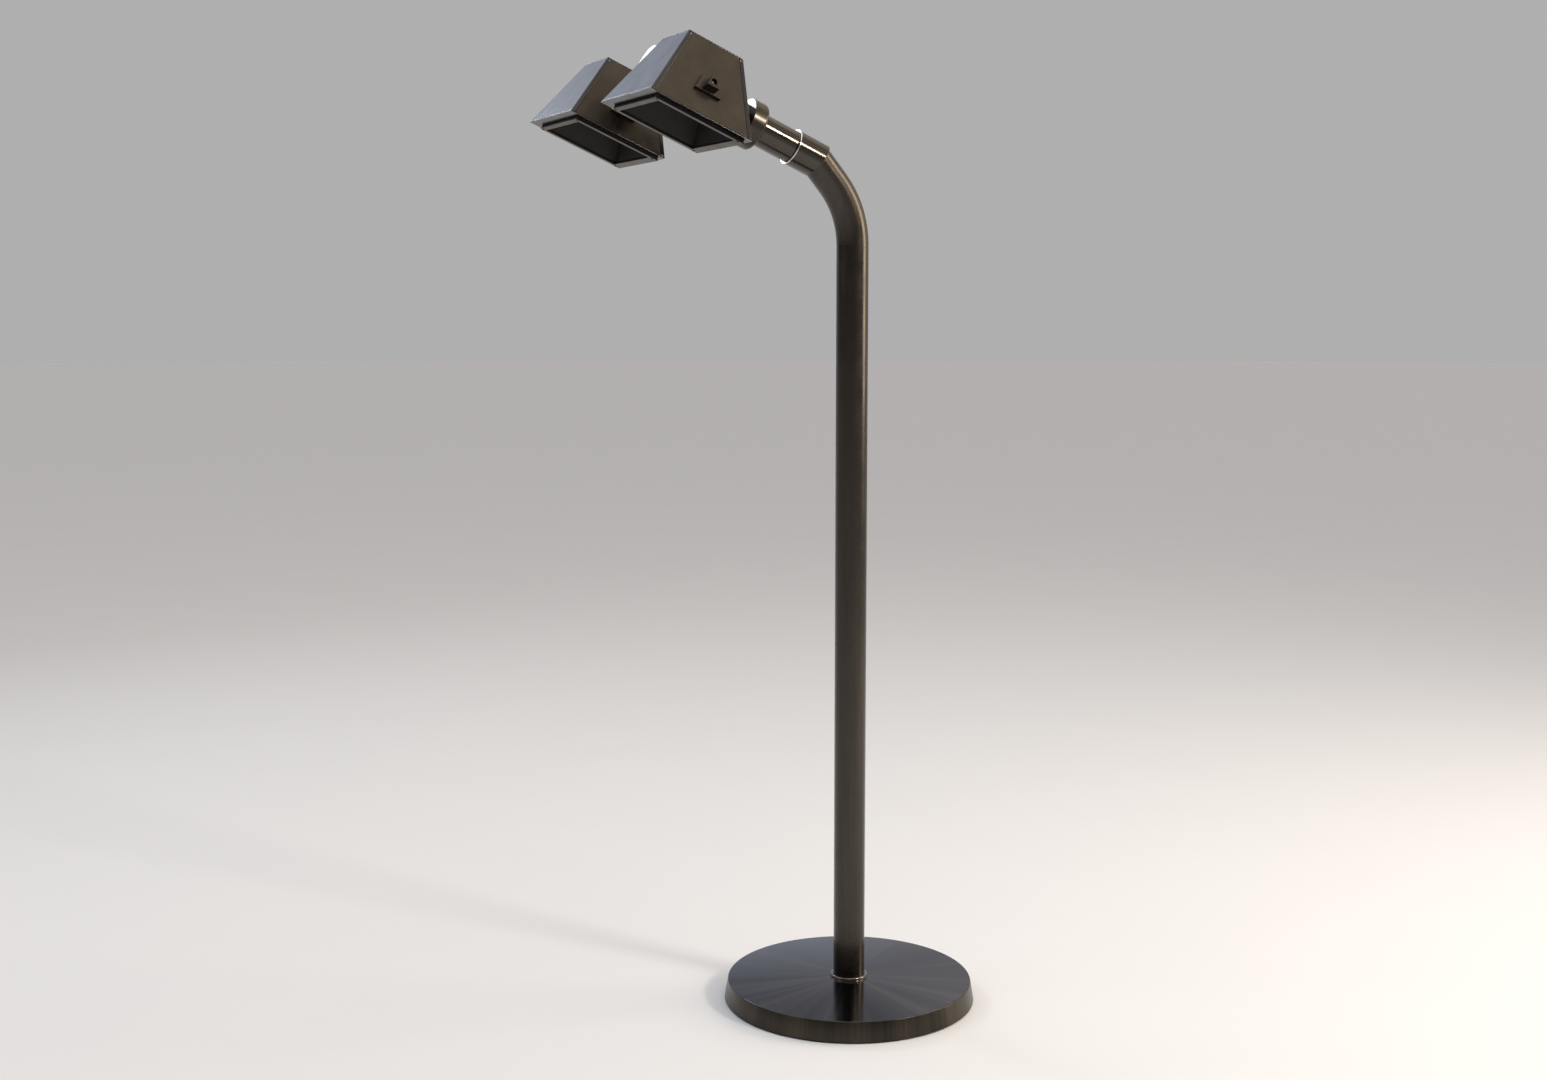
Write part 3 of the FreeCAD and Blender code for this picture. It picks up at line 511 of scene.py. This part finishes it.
# Finishes of single pieces that differ from the rest of their slot.
ARM_GLOSS = coat("arm_bronze", shade(BRONZE, 0.95), rough=0.17, varnish=0.5)
SCREW_BRONZE = coat("screw_bronze", shade(BRONZE, 1.3), rough=0.30)
# Dark steel for the lock spindle: painted shade, darkened so the spindle's end stays as dark as
# the shade in the lock's recess.
RECESS_SHADE_STEEL = polished("key_steel", (0.20, 0.19, 0.18), rough=0.35)
RING_GLOSS = coat("ring_bronze", shade(BRONZE, 3.0), rough=0.12, varnish=0.5)
SPUN_TOP = spun_top()
PHOSPHOR = phosphor()


def paint(piece, material=None):
    """Give a piece its slot's material, or the one named."""
    chosen = material or MATERIALS[piece.get("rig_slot") or SLOT_OF[piece.name]]
    piece.data.materials.clear()
    piece.data.materials.append(chosen)
    return piece


# --------------------------------------------------------------------- base
UPRIGHT = Matrix.Identity(4)
POST_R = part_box("pole_tube")[1].x
BORE_R = POST_R + 0.05 * MM         # of what sits round the post
COVER_WALL = 2.5 * MM
COVER_RIM = 30 * MM                 # the cover's top edge lies more than this over its foot
RING_SOFTENING = 2.6 * MM
PAD_GROOVES = 9
GROOVE_HALF = 3.0 * MM
GROOVE_DEEP = 1.5 * MM
PIN_HOLE_R = 0.5 * MM               # left at the middle of a turned piece


def cover_top():
    """Radius and height of the edge between the cover's top and its side."""
    rim_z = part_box("base_cover")[0].z + COVER_RIM
    points = [v.co for v in NODES["base_cover"].data.vertices if v.co.z > rim_z]
    top_r = max(math.hypot(p.x, p.y) for p in points)
    edge_z = max(p.z for p in points if math.hypot(p.x, p.y) > top_r - 0.1 * MM)
    return top_r, edge_z


def base_cover():
    """Spun cover with a rounded edge and a turned-in hem."""
    low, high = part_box("base_cover")
    top_r, edge_z = cover_top()
    foot_r = high.x
    cover = lathe("base_cover_spun", rounded_outline([
        (BORE_R, high.z, 0),
        (top_r, edge_z, 2.0 * MM),
        (foot_r, low.z, 1.2 * MM),
        (foot_r - COVER_WALL, low.z, 0.6 * MM),
        (top_r - COVER_WALL, edge_z - COVER_WALL, 0),
        (BORE_R, high.z - COVER_WALL, 0),
    ]), UPRIGHT, steps=256)
    stand_in(cover, "base_cover")
    cover.data.materials.append(MATERIALS["base_finish"])
    cover.data.materials.append(SPUN_TOP)
    # The top gets the painted reflection rays and the side gets the painted reflection streaks,
    # though both are one spun metal.
    shoulder = edge_z - 0.4 * MM
    for face in cover.data.polygons:
        on_top = face.normal.z > 0.7 and face.center.z > shoulder
        face.material_index = 1 if on_top else 0


def foot_ring():
    """Rounded ring at the foot of the post, lying on the cover's crown."""
    crown_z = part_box("base_cover")[1].z
    ring_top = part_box("pole_foot_ring")[1]
    top_r, edge_z = cover_top()
    drop = (crown_z - edge_z) * (ring_top.x - POST_R) / (top_r - POST_R)
    ring = lathe("foot_ring_turned", rounded_outline([
        (BORE_R, ring_top.z, 0.8 * MM),
        (ring_top.x - 1.0 * MM, ring_top.z, RING_SOFTENING),
        (ring_top.x, crown_z - drop, 0),
        (BORE_R, crown_z + 0.02 * MM, 0),
    ]), UPRIGHT)
    paint(stand_in(ring, "pole_foot_ring"), RING_GLOSS)


def foot_pad():
    """Rubber pad with round grooves underneath."""
    low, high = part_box("foot_pad")
    outline = [(PIN_HOLE_R, high.z), (high.x, high.z), (high.x, low.z)]
    for index in range(PAD_GROOVES):
        centre = high.x * (1 - (index + 1) / (PAD_GROOVES + 2))
        outline += [
            (centre + GROOVE_HALF, low.z),
            (centre + GROOVE_HALF / 2, low.z + GROOVE_DEEP),
            (centre - GROOVE_HALF / 2, low.z + GROOVE_DEEP),
            (centre - GROOVE_HALF, low.z),
        ]
    outline.append((PIN_HOLE_R, low.z))
    paint(stand_in(lathe("foot_pad_grooved", outline, UPRIGHT), "foot_pad"))


GLAND_BORE_R = 3.6 * MM
GLAND_NUT_IN = 13.0 * MM            # from the cap's outer end to the nut's inner face
GLAND_NUT_T = 4.0 * MM
GLAND_CHAMFER = 0.6 * MM


def gland_pieces():
    """Cable gland: hexagon nut, round cap and open bore."""
    low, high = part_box("cable_gland")
    centre = (low + high) / 2
    axis = Matrix.Translation((0, centre.y, centre.z)) @ Matrix.Rotation(math.pi / 2, 4, "Y")
    gland_r = (high.z - low.z) / 2
    cap_r = gland_r * 0.76
    cap = lathe("cable_gland_cap", rounded_outline([
        (GLAND_BORE_R, low.x, 0),
        (cap_r, low.x, 0),
        (cap_r, high.x, 2.0 * MM),
        (GLAND_BORE_R, high.x, 0.6 * MM),
    ]), axis, steps=72)
    paint(stand_in(cap, "cable_gland"))

    flat = gland_r * 0.88
    chamfer_r = flat * 0.90
    inner = high.x - GLAND_NUT_IN
    outer = inner + GLAND_NUT_T
    steps = 72
    bm = bmesh.new()
    skin(bm, [
        ring_points(chamfer_r, inner, axis, steps),
        ring_points(flat, inner + GLAND_CHAMFER, axis, steps, sides=6),
        ring_points(flat, outer - GLAND_CHAMFER, axis, steps, sides=6),
        ring_points(chamfer_r, outer, axis, steps),
    ])
    paint(add_on(finish_mesh("cable_gland_nut", bm), "cable_gland"))


# ---------------------------------------------------------------------- arm
BEAD_R = 1.5 * MM
BEAD_RIPPLES = 60
BEAD_RIPPLE = 0.16                  # share of the bead's radius
BEAD_SINK = 0.6 * MM                # back from the sleeve's end
LIP_WIDTH = 4.0 * MM


def mitre():
    """Where the sleeve's mitred end crosses the axis, its slope and radius."""
    points = local_points("coupler_sleeve", HEAD)
    radius = max(math.hypot(p.y, p.z) for p in points)
    near_edge = 0.98 * radius
    top = min(p.x for p in points if p.z > near_edge)
    bottom = min(p.x for p in points if p.z < -near_edge)
    return (top + bottom) / 2, (bottom - top) / (2 * radius), radius


def weld_bead(steps=240, round_steps=10):
    """Rippled bead of weld round the sleeve's mitred end."""
    centre_t, slope, sleeve_r = mitre()
    path_r = (sleeve_r + POST_R) / 2
    along = Vector((1, 0, 0))
    rings = []
    for index in range(steps):
        angle = 2 * math.pi * index / steps
        out = Vector((0, math.cos(angle), math.sin(angle)))
        bead_r = BEAD_R * (1 + BEAD_RIPPLE * math.cos(BEAD_RIPPLES * angle))
        middle = out * path_r + along * (centre_t - slope * out.z * path_r - BEAD_SINK)
        ring = []
        for step in range(round_steps):
            turn = 2 * math.pi * step / round_steps
            reach = out * math.cos(turn) + along * math.sin(turn)
            ring.append(HEAD @ (middle + reach * bead_r))
        rings.append(ring)
    bm = bmesh.new()
    skin(bm, rings, closed=True)
    paint(add_on(finish_mesh("mitre_weld", bm, angle=80), "pole_tube"))


def sleeve_lip():
    """Bright rounded ring at the sleeve's mouth."""
    low, high = local_box("sleeve_lip", HEAD)
    radius = high.y
    length = high.x - low.x
    lip = lathe("sleeve_lip_turned", rounded_outline([
        (radius - LIP_WIDTH, 0, 0),
        (radius, 0, 0.5 * MM),
        (radius, length, 1.0 * MM),
        (radius - LIP_WIDTH, length, 0.8 * MM),
    ]), along_arm(low.x))
    paint(stand_in(lip, "sleeve_lip"))


def arm_pieces():
    """Weld, lip, coupler, arm and the shaft's clamp rings."""
    weld_bead()
    sleeve_lip()
    paint(softened("coupler_sleeve", 0.5 * MM), ARM_GLOSS)
    paint(NODES["arm_tube"], ARM_GLOSS)
    paint(softened("shaft_clamps", 1.0 * MM))


# -------------------------------------------------------------------- hoods
# Dome screws: radius of the head, its height and radius of its hexagon socket.
PANEL_SCREW = (1.7 * MM, 1.5 * MM, 0.75 * MM)
BOARD_SCREW = (2.4 * MM, 1.8 * MM, 1.1 * MM)
BOARD_T = 2.0 * MM
BOARD_SCREW_REACH = 21.0 * MM       # from the board's centre, both ways
CHIP_R = 14.0 * MM
TURNED_OVER = Matrix.Rotation(math.pi, 4, "X")


def socket_screw(name, place, size, steps=24):
    """A dome screw head with a hexagon socket."""
    radius, height, socket = size
    rings = [ring_points(radius, 0.0, place, steps)]
    for share in (0.35, 0.65, 0.85):
        narrowing = math.sqrt(1 - share * share)
        rings.append(ring_points(radius * narrowing, height * share, place, steps))
    rings.append(ring_points(socket * 1.1, height * 0.95, place, steps))
    rings.append(ring_points(socket, height * 0.9, place, steps, sides=6))
    rings.append(ring_points(socket, height * 0.35, place, steps, sides=6))
    bm = bmesh.new()
    skin(bm, rings)
    return finish_mesh(name, bm, angle=40)


def middle(points):
    """The mean of some points."""
    return sum(points, Vector()) / len(points)


def loose_solids(node):
    """A node's separate solids, each as a list of points."""
    bm = bmesh.new()
    bm.from_mesh(NODES[node].data)
    bmesh.ops.remove_doubles(bm, verts=bm.verts, dist=WELD_REACH)
    groups = []
    seen = set()
    for first in bm.verts:
        if first in seen:
            continue
        seen.add(first)
        queue = [first]
        group = []
        while queue:
            vertex = queue.pop()
            group.append(vertex.co.copy())
            for edge in vertex.link_edges:
                other = edge.other_vert(vertex)
                if other not in seen:
                    seen.add(other)
                    queue.append(other)
        groups.append(group)
    bm.free()
    return groups


def side_normal(side, place, sign):
    """Outward normal of a hood's sloping side."""
    rim_low, rim_high = local_box(side + "_rim_frame", place)
    top_high = local_box(side + "_top_plate", place)[1]
    lean = (rim_high.y - top_high.y) / (top_high.z - rim_low.z)
    local = Vector((0, sign, lean)).normalized()
    return (place.to_3x3() @ local).normalized()


def panel_screws(side, place):
    """Dome socket screws where the CAD's plain heads are, corner by corner."""
    node = side + "_panel_screws"
    back = place.inverted()

    def corner(group):
        local = back @ middle(group)
        return local.x < 0, local.y > 0

    for index, group in enumerate(sorted(loose_solids(node), key=corner)):
        centre = middle(group)
        sign = math.copysign(1, (back @ centre).y)
        out = side_normal(side, place, sign)
        seat = centre + out * min((point - centre).dot(out) for point in group)
        turn = out.to_track_quat("Z", "Y").to_matrix().to_4x4()
        name = "%s_panel_screw_%d" % (side, index)
        screw = socket_screw(name, Matrix.Translation(seat) @ turn, PANEL_SCREW)
        if index == 0:
            stand_in(screw, node)
        else:
            add_on(screw, node)
        paint(screw)


def light_source(side, place):
    """Yellow dome and fixing screws on the board behind the lens."""
    node = side + "_led_module"
    low, high = local_box(node, place)
    dome = lathe(side + "_phosphor", [
        (0.2 * MM, 0.0),
        (CHIP_R * 0.80, 0.0),
        (CHIP_R * 0.76, 0.5 * MM),
        (CHIP_R * 0.60, 0.9 * MM),
        (CHIP_R * 0.30, 1.15 * MM),
        (0.2 * MM, 1.2 * MM),
    ], place @ Matrix.Translation((0, 0, low.z)) @ TURNED_OVER, steps=64)
    paint(add_on(dome, node), PHOSPHOR)
    for index, (i, j) in enumerate(((1, 1), (1, -1), (-1, 1), (-1, -1))):
        seat = Vector((i * BOARD_SCREW_REACH, j * BOARD_SCREW_REACH, high.z - BOARD_T))
        name = "%s_board_screw_%d" % (side, index)
        screw = socket_screw(name, place @ Matrix.Translation(seat) @ TURNED_OVER, BOARD_SCREW)
        paint(add_on(screw, node, "screw_steel"))


# Width of the rounded edges, in millimetres.
EDGE = {
    "end_plates": 1.0,
    "top_plate": 0.9,
    "rim_frame": 0.7,
    "outer_panel": 0.6,
    "inner_panel": 0.6,
    "trim_ring": 0.35,
    "ring_screws": 0.15,
    "lock_plate": 0.5,
    "lock_block": 0.5,
    "tilt_hub": 0.9,
    "lock_spindle": 0.35,
}
# Small pieces with a finish of their own.
DARKER = {"ring_screws": SCREW_BRONZE, "lock_spindle": RECESS_SHADE_STEEL}


def hood_pieces(side):
    """One hood: rounded panels, screws, light source and lock."""
    place = hood_frame(side)
    for piece, width in EDGE.items():
        paint(softened("%s_%s" % (side, piece), width * MM), DARKER.get(piece))
    panel_screws(side, place)
    light_source(side, place)


# -------------------------------------------------------------------- stage
FLOOR_R = 60.0
FLOOR_TONE = 0.74
CAMERA_SPOT = (-1.7013, -2.9909, 1.3055)
CAMERA_TURN = -27.19        # degrees from looking along +Y
CAMERA_DOWN = 6.805         # degrees
CAMERA_LENS = 42.58         # millimetres
CAMERA_REACH = 200.0
ROOM_TONE = 0.07            # the room's darkest walls, as reflections see them
BACKDROP_TONE = 0.43        # what the camera sees beyond the floor
# Soft glows on the room's walls: way to it, colour, cosine where it starts and
# where it is full.
GLOWS = (
    ((0.0, 0.0, 1.0), (0.62, 0.62, 0.62), 0.35, 1.0),
    ((0.10, 0.90, 0.42), (0.40, 0.44, 0.54), 0.55, 0.97),
    ((0.80, 0.05, 0.45), (0.74, 0.60, 0.45), 0.45, 1.0),
)
# Clouds over the glows: value of their noise, and share of the light there.
CLOUD_SCALE = 3.2
CLOUD_DARK = (0.36, 0.55)
CLOUD_LIGHT = (0.64, 1.35)


def floor():
    """Plain pale floor."""
    bm = bmesh.new()
    bmesh.ops.create_circle(bm, cap_ends=True, segments=96, radius=FLOOR_R)
    piece = finish_mesh("studio_floor", bm)
    finish = Finish("studio_floor", Roughness=0.9, Specular_IOR_Level=0.1)
    tone = (FLOOR_TONE, FLOOR_TONE, FLOOR_TONE * 1.01)
    finish.two_tone(finish.noise(scale=3.0), shade(tone, 0.99), tone)
    piece.data.materials.append(finish.material)


def area_light(name, spot, aim, size, power, colour):
    """A soft rectangular light that points at aim."""
    lamp = bpy.data.lights.new(name, "AREA")
    lamp.shape = "RECTANGLE"
    lamp.size, lamp.size_y = size
    lamp.energy = power
    lamp.color = colour
    piece = bpy.data.objects.new(name, lamp)
    piece.location = spot
    way = Vector(aim) - Vector(spot)
    piece.rotation_euler = way.to_track_quat("-Z", "Y").to_euler()
    piece.visible_camera = False
    bpy.context.scene.collection.objects.link(piece)


def lights():
    """Soft boxes: cool behind and left, warm right, one to line the arm, one above."""
    low, high = CAD_BOX
    head = Vector((low.x * 0.5, 0, high.z))
    waist = Vector((0, 0, high.z / 2))
    area_light("back_window", (-1.2, 3.7, 3.2), head, (0.8, 0.8), 22, (0.90, 0.95, 1.0))
    area_light("cool_box", (-3.4, 0.6, 3.0), waist, (2.0, 2.0), 20, (0.84, 0.90, 1.0))
    area_light("warm_box", (3.4, -1.4, 2.2), waist, (1.4, 2.6), 70, (1.0, 0.86, 0.70))
    area_light("arm_line", (1.9, -3.3, 2.9), head, (0.60, 0.60), 85, (1.0, 0.93, 0.82))
    area_light("overhead", (0.2, -0.6, 5.0), waist, (3.0, 3.0), 40, (1.0, 0.98, 0.96))


def grey(tone):
    """A neutral colour with its alpha."""
    return (tone, tone, tone, 1.0)


def world():
    """Room light: dim walls with soft, cloudy glows; pale to the camera."""
    room = bpy.data.worlds.new("studio")
    bpy.context.scene.world = room
    room.use_nodes = True
    nodes, links = room.node_tree.nodes, room.node_tree.links
    way = nodes.new("ShaderNodeTexCoord").outputs["Generated"]

    def plain(tone):
        node = nodes.new("ShaderNodeRGB")
        node.outputs["Color"].default_value = grey(tone)
        return node.outputs["Color"]

    def ramp(source, *stops, interpolation="LINEAR"):
        node = nodes.new("ShaderNodeValToRGB")
        node.color_ramp.interpolation = interpolation
        for element, (position, colour) in zip(node.color_ramp.elements, stops):
            element.position = position
            element.color = colour
        links.new(source, node.inputs["Fac"])
        return node.outputs["Color"]

    def combine(kind, first, second):
        mix = nodes.new("ShaderNodeMix")
        mix.data_type = "RGBA"
        mix.blend_type = kind
        mix.inputs["Factor"].default_value = 1.0
        links.new(first, mix.inputs["A"])
        links.new(second, mix.inputs["B"])
        return mix

    total = plain(ROOM_TONE)
    for direction, colour, start, full in GLOWS:
        nearness = nodes.new("ShaderNodeVectorMath")
        nearness.operation = "DOT_PRODUCT"
        nearness.inputs[1].default_value = Vector(direction).normalized()
        links.new(way, nearness.inputs[0])
        glow = ramp(
            nearness.outputs["Value"], (start, grey(0.0)), (full, (*colour, 1.0)),
            interpolation="EASE")
        total = combine("ADD", total, glow).outputs["Result"]

    clouds = nodes.new("ShaderNodeTexNoise")
    clouds.inputs["Scale"].default_value = CLOUD_SCALE
    clouds.inputs["Detail"].default_value = 2.0
    links.new(way, clouds.inputs["Vector"])
    veil = ramp(clouds.outputs["Fac"], *((value, grey(left)) for value, left in (
        CLOUD_DARK, CLOUD_LIGHT)))
    total = combine("MULTIPLY", total, veil).outputs["Result"]

    seen = combine("MIX", total, plain(BACKDROP_TONE))
    path = nodes.new("ShaderNodeLightPath")
    links.new(path.outputs["Is Camera Ray"], seen.inputs["Factor"])
    links.new(seen.outputs["Result"], nodes["Background"].inputs["Color"])


def camera():
    """A camera at chest height in front of the near hood, looking a little down."""
    lens = bpy.data.cameras.new("camera")
    lens.lens = CAMERA_LENS
    lens.clip_end = CAMERA_REACH
    piece = bpy.data.objects.new("camera", lens)
    piece.location = CAMERA_SPOT
    piece.rotation_euler = (math.radians(90 - CAMERA_DOWN), 0, math.radians(CAMERA_TURN))
    bpy.context.scene.collection.objects.link(piece)
    bpy.context.scene.camera = piece


# ------------------------------------------------------------------ assembly
for node_name, node_object in NODES.items():
    paint(node_object, MATERIALS[SLOT_OF[node_name]])

base_cover()
foot_ring()
foot_pad()
gland_pieces()
arm_pieces()
for hood_side in SIDES:
    hood_pieces(hood_side)

floor()
lights()
world()
camera()
bpy.context.scene.view_settings.view_transform = "Standard"
